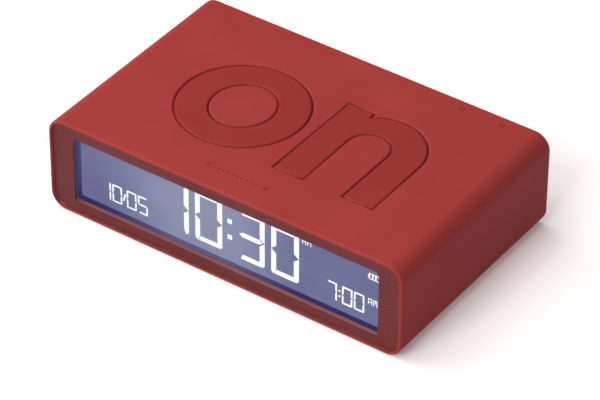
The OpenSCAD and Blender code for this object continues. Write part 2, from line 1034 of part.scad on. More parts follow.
// Plastic block that closes the shell at its back, with the contact tongue
module socket_tongue() {
    color(black)
        translate([socket_x, 0, 0])
            union() {
                along_y(socket_back, socket_back + socket_block)
                    obround(socket_inner_w, socket_inner_h);
                along_y(socket_back, socket_mouth - tongue_setback)
                    square([tongue_w, tongue_t], center = true);
            }
}

// Buttons and switches

module switch_body(x) {
    translate([x - switch_w / 2, switch_face - switch_d, board_top])
        difference() {
            cube([switch_w, switch_d, socket_h]);
            translate([switch_w / 2, switch_d + cut, socket_h / 2])
                rotate([90, 0, 0])
                    cylinder(h = plunger_depth + 2 * button_travel + cut, d = plunger_d + 2 * fit);
        }
}

module switch_plunger(x) {
    bar_y(x, mid_z, plunger_d, switch_face - plunger_depth, cap_front);
}

// Round cap with a flange that keeps it behind the rear panel
module button_cap(x) {
    bar_y(x, mid_z, button_d, cap_front, panel_face + button_proud);
    bar_y(x, mid_z, button_d + 2 * cap_flange_w, cap_front, cap_front + cap_flange_t);
}

module hour_switch() {
    color(black)
        switch_body(hour_x);
}

module minute_switch() {
    color(black)
        switch_body(minute_x);
}

module hour_plunger() {
    color(white)
        switch_plunger(hour_x);
}

module minute_plunger() {
    color(white)
        switch_plunger(minute_x);
}

module hour_button() {
    color(letter_red)
        button_cap(hour_x);
}

module minute_button() {
    color(letter_red)
        button_cap(minute_x);
}

// Battery

module battery_tape() {
    color(white)
        translate([0, cell_y, 0])
            along_z(floor_top, cell_z)
                square([cell_w - 2 * cell_r, cell_d - 2 * cell_r], center = true);
}

module battery_cell() {
    color(steel)
        translate([0, cell_y, 0])
            along_z(cell_z, cell_z + cell_t)
                rounded_rect(cell_w, cell_d, cell_r);
}

// Two strips from the front end of the cell up to the board
module battery_tabs() {
    color(gold)
        for (sx = [-1, 1])
            translate([sx * tab_x - tab_w / 2, cell_y - cell_d / 2 - tab_t, cell_z + cell_t / 2])
                cube([tab_w, tab_t, board_z - cell_z - cell_t / 2]);
}

// Buzzer

module buzzer_housing() {
    color(black)
        on_board(buzzer_x, buzzer_y)
            difference() {
                cylinder(h = buzzer_h, d = buzzer_d);
                translate([0, 0, buzzer_wall])
                    cylinder(h = buzzer_h, d = buzzer_d - 4 * buzzer_wall);
                translate([0, 0, buzzer_h - disc_t])
                    cylinder(h = buzzer_h, d = buzzer_d - 2 * buzzer_wall);
            }
}

module buzzer_disc() {
    color(gold)
        on_board(buzzer_x, buzzer_y)
            translate([0, 0, buzzer_h - disc_t])
                cylinder(h = disc_t, d = buzzer_d - 2 * buzzer_wall - 2 * fit);
}

// Tilt switch

module tilt_can() {
    color(steel)
        on_board(can_x, can_y)
            difference() {
                cylinder(h = can_h, r = can_r);
                translate([0, 0, can_wall])
                    cylinder(h = can_chamber, d = ball_d + 2 * ball_gap);
            }
}

module tilt_ball() {
    color(gold)
        translate([can_x, can_y, ball_z])
            sphere(d = ball_d);
}

// Touch sensing

module touch_plate(z) {
    translate([0, plate_y, 0])
        along_z(z, z + plate_t)
            square([plate_w, plate_d], center = true);
}

module top_touch_plate() {
    color(gold)
        touch_plate(body_h - wall - plate_t);
}

module bottom_touch_plate() {
    color(gold)
        touch_plate(wall);
}

module top_touch_foam() {
    color(steel)
        translate([foam_x, top_foam_y, 0])
            along_z(board_top, body_h - wall - plate_t)
                square(foam_w, center = true);
}

module bottom_touch_foam() {
    color(steel)
        translate([foam_x, bottom_foam_y, 0])
            along_z(wall + plate_t, board_z)
                square(foam_w, center = true);
}

// Rear

module screw_places() {
    for (sx = [-1, 1], sz = [-1, 1])
        translate([sx * boss_x, panel_face - counterbore_depth, mid_z + sz * boss_rise])
            rotate([-90, 0, 0])
                children();
}

// Panel that closes the rear, with the bores for the buttons, the socket, the screws and the sound
module rear_panel() {
    color(case_red)
        difference() {
            along_y(panel_front, panel_face)
                rounded_rect(lens_w, lens_h, lens_r);
            for (x = [hour_x, minute_x])
                bar_y(x, mid_z, button_d + 2 * fit, panel_front - cut, panel_face + cut);
            translate([socket_x, 0, 0])
                along_y(panel_front - cut, panel_face + cut)
                    obround(socket_w + 2 * fit, socket_h + 2 * fit);
            screw_places() {
                cylinder(h = counterbore_depth + cut, d = counterbore_d);
                translate([0, 0, -panel_t])
                    cylinder(h = panel_t + cut, d = pilot_d);
            }
            for (i = [0 : sound_hole_count - 1])
                bar_y((i - (sound_hole_count - 1) / 2) * sound_hole_pitch, mid_z, sound_hole_d,
                    panel_front - cut, panel_face + cut);
        }
}

module rear_screws() {
    color(steel)
        screw_places()
            screw(screw_len);
}

outer_sleeve();
on_letter_o();
on_letter_n();
off_letter_o();
off_letter_f_near();
off_letter_f_far();
front_lens();
lens_mask();
lens_tape();
display_frame();
front_polariser();
lcd_front_glass();
lcd_border();
lcd_segments();
lcd_rear_glass();
rear_polariser();
diffuser_film();
light_guide();
reflector_film();
led_strip();
backlight_leds();
zebra_strips();
display_board();
ribbon_connectors();
display_ribbon();
chassis();
main_board();
board_screws();
controller_chip();
charger_chip();
clock_crystal();
socket_shell();
socket_tongue();
hour_switch();
hour_plunger();
minute_switch();
minute_plunger();
hour_button();
minute_button();
battery_tape();
battery_cell();
battery_tabs();
buzzer_housing();
buzzer_disc();
tilt_can();
tilt_ball();
top_touch_plate();
bottom_touch_plate();
top_touch_foam();
bottom_touch_foam();
rear_panel();
rear_screws();
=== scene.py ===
import math

import bmesh
import bpy
from mathutils import Matrix, Vector


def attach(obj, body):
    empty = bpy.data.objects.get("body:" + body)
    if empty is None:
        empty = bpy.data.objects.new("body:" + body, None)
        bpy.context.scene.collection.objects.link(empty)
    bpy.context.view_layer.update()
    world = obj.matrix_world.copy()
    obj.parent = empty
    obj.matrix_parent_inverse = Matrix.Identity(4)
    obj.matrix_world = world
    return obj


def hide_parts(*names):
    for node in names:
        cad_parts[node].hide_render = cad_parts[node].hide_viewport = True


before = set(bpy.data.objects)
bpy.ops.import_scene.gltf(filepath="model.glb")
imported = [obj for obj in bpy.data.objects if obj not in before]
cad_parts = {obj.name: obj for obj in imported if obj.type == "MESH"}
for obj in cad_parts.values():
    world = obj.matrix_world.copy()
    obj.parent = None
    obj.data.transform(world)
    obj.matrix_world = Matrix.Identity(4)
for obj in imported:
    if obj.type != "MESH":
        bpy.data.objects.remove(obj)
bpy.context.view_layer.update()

# Outer sleeve
# The one-piece moulded case, open at the front and at the rear, with round long edges and a sprayed
# soft-touch coat. Both broad faces hold letter pockets and small sunk marks, whose floors are painted a
# deeper red as shade.

# Sizes of meshes are in millimetres, and each finished mesh is brought to metres.
MILLIMETRE = 0.001
body_w = 105
body_d = 65
body_h = 27
corner_r = 4.5
corner_steps = 24
edge_r = 0.6
rim_w = 0.85
rim_inner_r = 0.1
rim_steps = 8
wall = 2
flange_w = 1
flange_t = 0.8
lens_seat = 1.05
panel_seat = 2.2
front_y = -body_d / 2
rear_y = body_d / 2
mid_z = body_h / 2
shoulder_y = front_y + lens_seat
flange_back_y = shoulder_y + flange_t
panel_front_y = rear_y - panel_seat
letter_depth = 0.8
letter_gap = 0.34
lip_r = 0.5
lip_steps = 4
arc_steps = 48
ring_steps = 3 * arc_steps
quarter = math.radians(90)


def ring_of(bm, points):
    """New vertices at the points, in their order."""
    return [bm.verts.new(p) for p in points]


def bridge(bm, first, second, smooth=True, left_out=()):
    """Quads between two rings. smooth is one answer for all segments or a list with one for each."""
    count = len(first)
    for i in range(count):
        if i in left_out:
            continue
        j = (i + 1) % count
        face = bm.faces.new((first[i], first[j], second[j], second[i]))
        face.smooth = smooth if isinstance(smooth, bool) else smooth[i]


def fill(bm, *rings):
    """A flat face inside the first ring, left open inside the others."""
    edges = []
    for ring in rings:
        for i, vert in enumerate(ring):
            after = ring[(i + 1) % len(ring)]
            edges.append(bm.edges.get((vert, after)) or bm.edges.new((vert, after)))
    bmesh.ops.triangle_fill(bm, use_beauty=True, edges=edges)


def place_piece(name, bm, finish, slot, body, *nodes):
    """Turns a mesh into a named piece that rides on a body and stands for CAD nodes."""
    bmesh.ops.recalc_face_normals(bm, faces=bm.faces)
    bmesh.ops.scale(bm, vec=(MILLIMETRE,) * 3, verts=bm.verts)
    mesh = bpy.data.meshes.new(name)
    bm.to_mesh(mesh)
    bm.free()
    mesh.materials.append(finish)
    piece = bpy.data.objects.new(name, mesh)
    bpy.context.scene.collection.objects.link(piece)
    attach(piece, body)
    if nodes:
        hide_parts(*nodes)
    return piece


def rounded_ring(w, h, r, y):
    """Points of a rounded rectangle in X and Z, about the middle of the case, at depth y."""
    points = []
    for turn, (sx, sz) in enumerate(((1, 1), (-1, 1), (-1, -1), (1, -1))):
        for step in range(corner_steps + 1):
            angle = quarter * (turn + step / corner_steps)
            x = sx * (w / 2 - r) + r * math.cos(angle)
            z = mid_z + sz * (h / 2 - r) + r * math.sin(angle)
            points.append(Vector((x, y, z)))
    return points


def quarter_round(r, steps):
    """Pairs of setback and drop along a rounded edge, from the face to the wall below it."""
    pairs = []
    for step in range(steps + 1):
        angle = quarter * step / steps
        pairs.append((r * (1 - math.sin(angle)), r * (1 - math.cos(angle))))
    return pairs


def on_top(x, y, depth):
    """A point of the top face, sunk by depth."""
    return Vector((x, y, body_h - depth))


def underneath(x, y, depth):
    """A point of the underside, mirrored so that a word reads right when the clock is turned over."""
    return Vector((-x, y, depth))


def arc(cx, cy, r, start, end, steps=arc_steps):
    """Points of an arc in a plane, with angles in degrees."""
    points = []
    for step in range(steps + 1):
        angle = math.radians(start + (end - start) * step / steps)
        points.append((cx + r * math.cos(angle), cy + r * math.sin(angle)))
    return points


ring_r = 17.15
ring_side = 8.65
ring_bar = 8.1
ring_y = -0.85
stem_stroke = 8.7
baseline_y = -16.9
stem_top_y = 15.3
n_counter_w = 11.5
n_counter_y = 2.45
n_notch = 0.75
n_w = 2 * stem_stroke + n_counter_w
arch_r = 12.9
arch_y = 3.35
hook_r = 11
hook_y = 15
hook_tip = 3
crossbar_y = 7
crossbar_h = 7.5
crossbar_reach = 3
letter_space = 3.3
on_left = -(2 * ring_r + letter_space + n_w) / 2
n_left = on_left + 2 * ring_r + letter_space
f_w = hook_r + hook_tip
f_pitch = letter_space + crossbar_reach + f_w
off_left = -(2 * ring_r + 2 * f_pitch) / 2
f_near_left = off_left + 2 * ring_r + letter_space + crossbar_reach
f_far_left = f_near_left + f_pitch


def letter_o(left):
    """The letter o from its left end: a function that gives its outlines, grown by a distance."""
    centre = left + ring_r

    def outline(grow):
        outer = arc(centre, ring_y, ring_r + grow, 0, 360, ring_steps)[:-1]
        wide = ring_r - ring_side - grow
        tall = ring_r - ring_bar - grow
        circle = arc(0, 0, 1, 0, 360, ring_steps)[:-1]
        inner = [(centre + wide * x, ring_y + tall * y) for x, y in circle]
        return [outer, inner]
    return outline


def letter_n(left):
    """The letter n, in the same way."""
    right = left + n_w
    stem_right = left + stem_stroke
    counter_r = n_counter_w / 2

    def outline(grow):
        foot = baseline_y - grow
        notch_x = stem_right - n_notch + grow
        arch_x = right - arch_r
        meeting = math.degrees(math.acos((notch_x - arch_x) / (arch_r + grow)))
        points = [(left - grow, foot), (stem_right + grow, foot)]
        points += arc(stem_right + counter_r, n_counter_y, counter_r - grow, 180, 0)
        points += [(stem_right + n_counter_w - grow, foot), (right + grow, foot)]
        points += arc(arch_x, arch_y, arch_r + grow, 0, meeting)
        points += [(notch_x, stem_top_y + grow), (left - grow, stem_top_y + grow)]
        return [points]
    return outline


def letter_f(left):
    """The letter f, in the same way."""
    right = left + stem_stroke
    hook_x = left + hook_r
    bar_top = crossbar_y + crossbar_h

    def outline(grow):
        tip_x = hook_x + hook_tip + grow
        inner_r = hook_r - stem_stroke - grow
        outer_r = hook_r + grow
        points = [(left - grow, baseline_y - grow), (right + grow, baseline_y - grow)]
        points += [(right + grow, crossbar_y - grow), (right + crossbar_reach + grow, crossbar_y - grow)]
        points += [(right + crossbar_reach + grow, bar_top + grow), (right + grow, bar_top + grow)]
        points += arc(hook_x, hook_y, inner_r, 180, 90, arc_steps // 2)
        points += [(tip_x, hook_y + inner_r), (tip_x, hook_y + outer_r)]
        points += arc(hook_x, hook_y, outer_r, 90, 180)
        points += [(left - grow, bar_top + grow), (left - crossbar_reach - grow, bar_top + grow)]
        points += [(left - crossbar_reach - grow, crossbar_y - grow), (left - grow, crossbar_y - grow)]
        return [points]
    return outline


def letter_rings(bm, outline, place, grow, depth):
    """One ring for each outline of a letter, on a broad face."""
    return [ring_of(bm, [place(x, y, depth) for x, y in turn]) for turn in outline(grow)]


def bridge_all(bm, levels):
    """Walls between the like rings of neighbouring levels."""
    for upper, lower in zip(levels, levels[1:]):
        for first, second in zip(upper, lower):
            bridge(bm, first, second)


def letter_pocket(bm, outline, place):
    """A pocket with a softly rounded lip. Returns the rings where it meets the broad face."""
    levels = []
    for setback, drop in quarter_round(lip_r, lip_steps):
        levels.append(letter_rings(bm, outline, place, letter_gap / 2 + setback, drop))
    levels.append(letter_rings(bm, outline, place, letter_gap / 2, letter_depth))
    bridge_all(bm, levels)
    fill(bm, *levels[-1])
    return levels[0]


mark_depth = 0.1
mark_h = 1.45
mark_w = 1.2
mark_stroke = 0.3
mark_shade_index = 1
minute_extra_w = 0.15
minute_valley_share = 0.15
minute_notch_strokes = 1.6
minute_slope_strokes = 2.2
touch_y = -25.2
moon_x = -8.4
moon_horn_angle = 60
moon_bite_x = 0.36
moon_bite_share = 0.866
moon_steps = 20
sun_x = 8.1
sun_r = 0.34
sun_rays = 8
ray_start = 0.46
ray_end = 0.74
ray_half_w = 0.09
dot_r = 0.3
dot_pitch = 1.35
dot_steps = 16
dots_x = -0.15
dots_each_side = 4
hour_mark = (28.6, 29.2)
minute_mark = (40.4, 29.0)


def mark_hour(x, y):
    """The outline of the letter H."""
    w, h, s = mark_w / 2, mark_h / 2, mark_stroke
    bar = s / 2
    return [(x + dx, y + dy) for dx, dy in (
        (-w, -h), (-w + s, -h), (-w + s, -bar), (w - s, -bar), (w - s, -h), (w, -h),
        (w, h), (w - s, h), (w - s, bar), (-w + s, bar), (-w + s, h), (-w, h))]


def mark_minute(x, y):
    """The outline of the letter M."""
    w, h, s = mark_w / 2 + minute_extra_w, mark_h / 2, mark_stroke
    valley = -h * minute_valley_share
    notch = valley + minute_notch_strokes * s
    slope = h - minute_slope_strokes * s
    return [(x + dx, y + dy) for dx, dy in (
        (-w, -h), (-w + s, -h), (-w + s, slope), (0, valley), (w - s, slope), (w - s, -h), (w, -h),
        (w, h), (w - s, h), (0, notch), (-w + s, h), (-w, h))]


def mark_moon(x, y):
    """The outline of a crescent that is open towards +X."""
    outer = arc(x, y, mark_h / 2, moon_horn_angle, 360 - moon_horn_angle, moon_steps)
    inner = arc(x + moon_bite_x, y, mark_h / 2 * moon_bite_share, 270, 90, moon_steps)
    return outer + inner


def mark_dot(x, y, r):
    return arc(x, y, r, 0, 360, dot_steps)[:-1]


def mark_ray(x, y, angle):
    """One short ray of the sun, as a slim bar that points away from its centre."""
    c, s = math.cos(angle), math.sin(angle)
    low, high = -ray_half_w, ray_half_w
    corners = ((ray_start, low), (ray_end, low), (ray_end, high), (ray_start, high))
    return [(x + a * c - b * s, y + a * s + b * c) for a, b in corners]


def touch_marks():
    """Moon, row of dots and sun, for the touch zone along the front."""
    outlines = [mark_moon(moon_x, touch_y), mark_dot(sun_x, touch_y, sun_r)]
    for turn in range(sun_rays):
        outlines.append(mark_ray(sun_x, touch_y, math.radians(360 / sun_rays * turn)))
    for i in range(-dots_each_side, dots_each_side + 1):
        outlines.append(mark_dot(i * dot_pitch + dots_x, touch_y, dot_r))
    return outlines


def sunk_marks(bm, outlines, place):
    """Shallow marks, their floors painted a deeper red as shade. Returns the rings where they meet the broad
    face.
    """
    rims = []
    for points in outlines:
        rim = ring_of(bm, [place(x, y, 0) for x, y in points])
        floor = ring_of(bm, [place(x, y, mark_depth) for x, y in points])
        bridge(bm, rim, floor, smooth=False)
        fill(bm, floor)
        for face in {face for vert in floor for face in vert.link_faces}:
            face.material_index = mark_shade_index
        rims.append(rim)
    return rims


front_round = [(inset, front_y + drop) for inset, drop in quarter_round(edge_r, rim_steps)]
rear_round = [(inset, rear_y - drop) for inset, drop in reversed(quarter_round(edge_r, rim_steps))]
inside = [
    (rim_w, rear_y), (rim_w, panel_front_y), (wall, panel_front_y), (wall, flange_back_y),
    (wall + flange_w, flange_back_y), (wall + flange_w, shoulder_y), (rim_w, shoulder_y),
]
rim_inside = [(rim_w - s, front_y + d) for s, d in reversed(quarter_round(rim_inner_r, rim_steps))]
profile = front_round + rear_round + inside + rim_inside
corner_points = corner_steps + 1
on_corner = [i % corner_points != corner_steps for i in range(4 * corner_points)]
top_segment = corner_steps
under_segment = 2 * corner_points + corner_steps
last_front = len(front_round) - 1
last_rear = last_front + len(rear_round)
first_inner = len(profile) - len(rim_inside)

sleeve = bmesh.new()
rings = []
for inset, y in profile:
    points = rounded_ring(body_w - 2 * inset, body_h - 2 * inset, corner_r - inset, y)
    rings.append(ring_of(sleeve, points))
for i, ring in enumerate(rings):
    after = rings[(i + 1) % len(rings)]
    if i == last_front:
        bridge(sleeve, ring, after, on_corner, (top_segment, under_segment))
    elif i < last_rear or i >= first_inner:
        bridge(sleeve, ring, after)
    else:
        bridge(sleeve, ring, after, on_corner)


def face_ring(segment):
    """The four corners of a flat broad face, between the round edges."""
    front, rear = rings[last_front], rings[last_front + 1]
    return [front[segment], front[segment + 1], rear[segment + 1], rear[segment]]


top_marks = touch_marks() + [mark_hour(*hour_mark), mark_minute(*minute_mark)]
under_marks = touch_marks()
under_marks.append(mark_hour(-hour_mark[0], hour_mark[1]))
under_marks.append(mark_minute(-minute_mark[0], minute_mark[1]))
o_rim, o_island = letter_pocket(sleeve, letter_o(on_left), on_top)
[n_rim] = letter_pocket(sleeve, letter_n(n_left), on_top)
fill(sleeve, face_ring(top_segment), o_rim, n_rim, *sunk_marks(sleeve, top_marks, on_top))
fill(sleeve, o_island)
o_rim, o_island = letter_pocket(sleeve, letter_o(off_left), underneath)
[near_rim] = letter_pocket(sleeve, letter_f(f_near_left), underneath)
[far_rim] = letter_pocket(sleeve, letter_f(f_far_left), underneath)
under_rims = sunk_marks(sleeve, under_marks, underneath)
fill(sleeve, face_ring(under_segment), o_rim, near_rim, far_rim, *under_rims)
fill(sleeve, o_island)


def new_finish(name):
    """A new material and its shader."""
    finish = bpy.data.materials.new(name)
    finish.use_nodes = True
    return finish, finish.node_tree.nodes["Principled BSDF"]


def add(finish, kind, **values):
    """A new shader node, with values for the sockets that are named."""
    node = finish.node_tree.nodes.new("ShaderNode" + kind)
    for socket, value in values.items():
        node.inputs[socket.replace("_", " ")].default_value = value
    return node


def join(finish, source, target):
    finish.node_tree.links.new(source, target)


def speckle(finish, scale, detail):
    """Noise over the piece's own coordinates, which are in metres."""
    coords = add(finish, "TexCoord")
    noise = add(finish, "TexNoise", Scale=scale, Detail=detail)
    join(finish, coords.outputs["Object"], noise.inputs["Vector"])
    return noise.outputs["Fac"]


def two_colours(finish, amount, first, second, low=0.35, high=0.65):
    """A colour that goes from first to second while the amount goes from low to high."""
    ramp = add(finish, "ValToRGB")
    ramp.color_ramp.elements[0].position = low
    ramp.color_ramp.elements[0].color = (*first, 1)
    ramp.color_ramp.elements[1].position = high
    ramp.color_ramp.elements[1].color = (*second, 1)
    join(finish, amount, ramp.inputs["Fac"])
    return ramp.outputs["Color"]


noise_low = 0.3
noise_high = 0.7


def between(finish, amount, low, high):
    """A value from low to high that follows noise."""
    spread = add(finish, "MapRange", From_Min=noise_low, From_Max=noise_high, To_Min=low, To_Max=high)
    join(finish, amount, spread.inputs["Value"])
    return spread.outputs["Result"]


def grain(finish, shader, height, depth, strength):
    """Fine relief on the surface, its depth in metres."""
    bump = add(finish, "Bump", Strength=strength, Distance=depth)
    join(finish, height, bump.inputs["Height"])
    join(finish, bump.outputs["Normal"], shader.inputs["Normal"])


pigment_scale = 55
grain_detail = 3
grain_strength = 0.5
gloss_spread = 0.06


def moulded(name, first, second, rough, grain_scale, grain_depth, shine=0.5):
    """Moulded plastic: pigment that drifts a little, and a fine grain that also breaks up the gloss."""
    finish, shader = new_finish(name)
    fine = speckle(finish, grain_scale, grain_detail)
    pigment = speckle(finish, pigment_scale, grain_detail)
    join(finish, two_colours(finish, pigment, first, second), shader.inputs["Base Color"])
    gloss = between(finish, fine, rough - gloss_spread, rough + gloss_spread)
    join(finish, gloss, shader.inputs["Roughness"])
    grain(finish, shader, fine, grain_depth, grain_strength)
    shader.inputs["Specular IOR Level"].default_value = shine
    return finish


soft_touch = moulded(
    "soft_touch_red", (0.227, 0.0253, 0.0226), (0.241, 0.028, 0.0254),
    rough=0.6, grain_scale=5200, grain_depth=0.00001, shine=0.08)
sleeve_piece = place_piece("outer_sleeve_shell", sleeve, soft_touch, "case_red", "case", "outer_sleeve")
# Painted shade: a deeper red for the floors of the sunk marks.
mark_floor_shade = moulded(
    "mark_floor_shade", (0.182, 0.016, 0.0136), (0.195, 0.0182, 0.016),
    rough=0.6, grain_scale=5200, grain_depth=0.00001, shine=0.08)
sleeve_piece.data.materials.append(mark_floor_shade)

# Letter inlays
# Separate letters, moulded in the same red without the soft coat and glued almost flush into the pockets.
# A flange around each fills its pocket, so only a shallow groove shows between letter and case.
letter_recess = 0.05
letter_edge_r = 0.45
letter_flange_depth = 0.52
letter_flange_fit = 0.02
letter_finish = moulded(
    "letter_red", (0.195, 0.0187, 0.0147), (0.208, 0.021, 0.017),
    rough=0.5, grain_scale=9000, grain_depth=0.000004, shine=0.1)


def letter_inlay(name, outline, place, node):
    """A letter with rounded edges and a flange at its foot, in the place of a CAD node."""
    bm = bmesh.new()
    levels = []
    for setback, drop in quarter_round(letter_edge_r, lip_steps):
        levels.append(letter_rings(bm, outline, place, -letter_gap / 2 - setback, letter_recess + drop))
    flange = letter_gap / 2 - letter_flange_fit
    levels.append(letter_rings(bm, outline, place, -letter_gap / 2, letter_flange_depth))
    levels.append(letter_rings(bm, outline, place, flange, letter_flange_depth))
    levels.append(letter_rings(bm, outline, place, flange, letter_depth))
    bridge_all(bm, levels)
    fill(bm, *levels[0])
    fill(bm, *levels[-1])
    place_piece(name, bm, letter_finish, "letter_red", "case", node)


letter_inlay("on_inlay_o", letter_o(on_left), on_top, "on_letter_o")
letter_inlay("on_inlay_n", letter_n(n_left), on_top, "on_letter_n")
letter_inlay("off_inlay_o", letter_o(off_left), underneath, "off_letter_o")
letter_inlay("off_inlay_f_near", letter_f(f_near_left), underneath, "off_letter_f_near")
letter_inlay("off_inlay_f_far", letter_f(f_far_left), underneath, "off_letter_f_far")

# Front lens
# A polished clear acrylic sheet with a fine bevel, set almost flush in the front rim.
# Ink on its back makes the dark mask, which its polished edge mirrors. Black tape holds it to the sleeve.
lens_gap = 0.03
lens_recess = 0.1
lens_front_y = front_y + lens_recess
lens_t = 0.7
ink_clearance = 0.02
lens_bevel = 0.06
lens_edge_index = 1
lens_w = body_w - 2 * rim_w - 2 * lens_gap
lens_h = body_h - 2 * rim_w - 2 * lens_gap
lens_r = corner_r - rim_w - lens_gap


def sheet_rings(bm, w, h, r, levels):
    """Rings of a rounded sheet, one for each pair of inset and depth."""
    made = []
    for inset, y in levels:
        made.append(ring_of(bm, rounded_ring(w - 2 * inset, h - 2 * inset, r - inset, y)))
    for first, second in zip(made, made[1:]):
        bridge(bm, first, second, on_corner)
    return made


haze_scale = 40
smear_scale = 300
smear_spread = 0.03
clear_detail = 2
untinted = (1, 1, 1)


def clear_sheet(name, tint, rough, index):
    """A clear sheet: a faint tint straight through, and outside a mirror that grows at low angles."""
    finish, shader = new_finish(name)
    nodes = finish.node_tree.nodes
    nodes.remove(shader)
    through = add(finish, "BsdfTransparent")
    haze = speckle(finish, haze_scale, clear_detail)
    join(finish, two_colours(finish, haze, tint, untinted), through.inputs["Color"])
    mirror = add(finish, "BsdfGlossy")
    smears = speckle(finish, smear_scale, clear_detail)
    join(finish, between(finish, smears, rough, rough + smear_spread), mirror.inputs["Roughness"])
    fresnel = add(finish, "Fresnel", IOR=index)
    side = add(finish, "NewGeometry")
    outside_only = add(finish, "MixRGB")
    outside_only.inputs["Color2"].default_value = (0, 0, 0, 1)
    join(finish, side.outputs["Backfacing"], outside_only.inputs["Fac"])
    join(finish, fresnel.outputs["Fac"], outside_only.inputs["Color1"])
    mix = add(finish, "MixShader")
    join(finish, outside_only.outputs["Color"], mix.inputs[0])
    join(finish, through.outputs["BSDF"], mix.inputs[1])
    join(finish, mirror.outputs["BSDF"], mix.inputs[2])
    join(finish, mix.outputs["Shader"], nodes["Material Output"].inputs["Surface"])
    return finish


crease_angle = 35


def sharp_edges(bm, limit):
    """Marks edges that turn more than limit degrees as sharp."""
    for edge in bm.edges:
        if len(edge.link_faces) == 2 and edge.calc_face_angle(0) > math.radians(limit):
            edge.smooth = False


lens = bmesh.new()
lens_back_y = lens_front_y + lens_t - ink_clearance
lens_rings = sheet_rings(lens, lens_w, lens_h, lens_r, [
    (lens_bevel, lens_front_y), (0, lens_front_y + lens_bevel), (0, lens_back_y)])
for face in lens.faces:
    if face.calc_center_median().y > lens_front_y + lens_bevel:
        face.material_index = lens_edge_index
fill(lens, lens_rings[0])
fill(lens, lens_rings[-1])
bmesh.ops.recalc_face_normals(lens, faces=lens.faces)
sharp_edges(lens, crease_angle)
lens_finish = clear_sheet("lens_acrylic", (0.98, 0.98, 0.98), rough=0.12, index=1.1)
lens_piece = place_piece("lens_sheet", lens, lens_finish, "lens_clear", "case", "front_lens")
mask_ink = moulded(
    "mask_ink", (0.099, 0.009, 0.009), (0.105, 0.0108, 0.0108),
    rough=0.38, grain_scale=900, grain_depth=0.000001, shine=0.17)


def dress(finish, *nodes):
    """Gives CAD nodes that keep their shape a finish."""
    for name in nodes:
        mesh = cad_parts[name].data
        mesh.materials.clear()
        mesh.materials.append(finish)


metal_detail = 4
metal_gloss_spread = 0.07
metal_grain_strength = 0.4


def metal(name, first, second, rough, grain_scale, grain_depth):
    """Bare metal whose colour and gloss vary with fine drawing marks."""
    finish, shader = new_finish(name)
    marks = speckle(finish, grain_scale, metal_detail)
    join(finish, two_colours(finish, marks, first, second), shader.inputs["Base Color"])
    gloss = between(finish, marks, rough - metal_gloss_spread, rough + metal_gloss_spread)
    join(finish, gloss, shader.inputs["Roughness"])
    grain(finish, shader, marks, grain_depth, metal_grain_strength)
    shader.inputs["Metallic"].default_value = 1
    return finish


lens_edge = metal(
    "lens_edge", (0.85, 0.62, 0.62), (0.9, 0.66, 0.66),
    rough=0.2, grain_scale=900, grain_depth=0.000001)
lens_piece.data.materials.append(lens_edge)
dress(mask_ink, "lens_mask")
foam_tape = moulded(
    "foam_tape", (0.012, 0.012, 0.012), (0.02, 0.02, 0.02),
    rough=0.85, grain_scale=3500, grain_depth=0.00003, shine=0.2)
dress(foam_tape, "lens_tape")

# Display frame
# A moulded red frame behind the lens. Its lip shows as a thin step inside the window,
# it holds the LCD and its backlight, and four pins at its back carry the display board.
frame_red = moulded(
    "frame_red", (0.2, 0.064, 0.062), (0.216, 0.07, 0.068),
    rough=0.5, grain_scale=6000, grain_depth=0.000006)
dress(frame_red, "display_frame")

# LCD cell
# Two glass sheets with a polariser outside each. It is a negative display: the field is dark blue, lit from
# behind with a glow that is strongest near the time, and the open segments let the light through white.
polariser_film = clear_sheet("polariser_film", (0.93, 0.94, 0.96), rough=0.2, index=1.12)
lcd_glass = clear_sheet("lcd_glass", (0.95, 0.97, 0.96), rough=0.05, index=1.1)
dress(polariser_film, "front_polariser", "rear_polariser")
dress(lcd_glass, "lcd_front_glass")


unlit_colour = (0.01, 0.01, 0.014, 1)
unlit_rough = 0.4


def lit(name, strength):
    """A surface that glows by itself, with a dark face of its own."""
    finish, shader = new_finish(name)
    shader.inputs["Base Color"].default_value = unlit_colour
    shader.inputs["Roughness"].default_value = unlit_rough
    shader.inputs["Emission Strength"].default_value = strength
    return finish, shader


# Places in a material are in metres. The far reach keeps the glow even in depth and height.
glow_x = -0.009
glow_reach = 0.033
glow_far_reach = 100


def glow_along(name, dim, bright):
    """A lit face whose colour rises from both ends to the brightest place, left of the middle."""
    finish, shader = lit(name, strength=1)
    coords = add(finish, "TexCoord")
    place = add(finish, "Mapping")
    place.vector_type = "TEXTURE"
    place.inputs["Location"].default_value = (glow_x, 0, 0)
    place.inputs["Scale"].default_value = (glow_reach, glow_far_reach, glow_far_reach)
    rise = add(finish, "TexGradient")
    rise.gradient_type = "SPHERICAL"
    join(finish, coords.outputs["Object"], place.inputs["Vector"])
    join(finish, place.outputs["Vector"], rise.inputs["Vector"])
    ramp = add(finish, "ValToRGB")
    ramp.color_ramp.interpolation = "EASE"
    ramp.color_ramp.elements[0].color = (*dim, 1)
    ramp.color_ramp.elements[1].color = (*bright, 1)
    join(finish, rise.outputs["Fac"], ramp.inputs["Fac"])
    join(finish, ramp.outputs["Color"], shader.inputs["Emission Color"])
    return finish


lcd_field = glow_along("lcd_field", dim=(0.152, 0.159, 0.315), bright=(0.3, 0.313, 0.465))
dress(lcd_field, "lcd_rear_glass")
lcd_border = glow_along("lcd_border", dim=(0.026, 0.024, 0.126), bright=(0.125, 0.12, 0.245))
dress(lcd_border, "lcd_border")
segments, segments_shader = lit("lcd_segments", strength=1.15)
segment_drift = speckle(segments, scale=400, detail=2)
segment_colour = two_colours(segments, segment_drift, (0.95, 0.96, 1.0), (1.0, 1.0, 1.0))
join(segments, segment_colour, segments_shader.inputs["Emission Color"])
dress(segments, "lcd_segments")

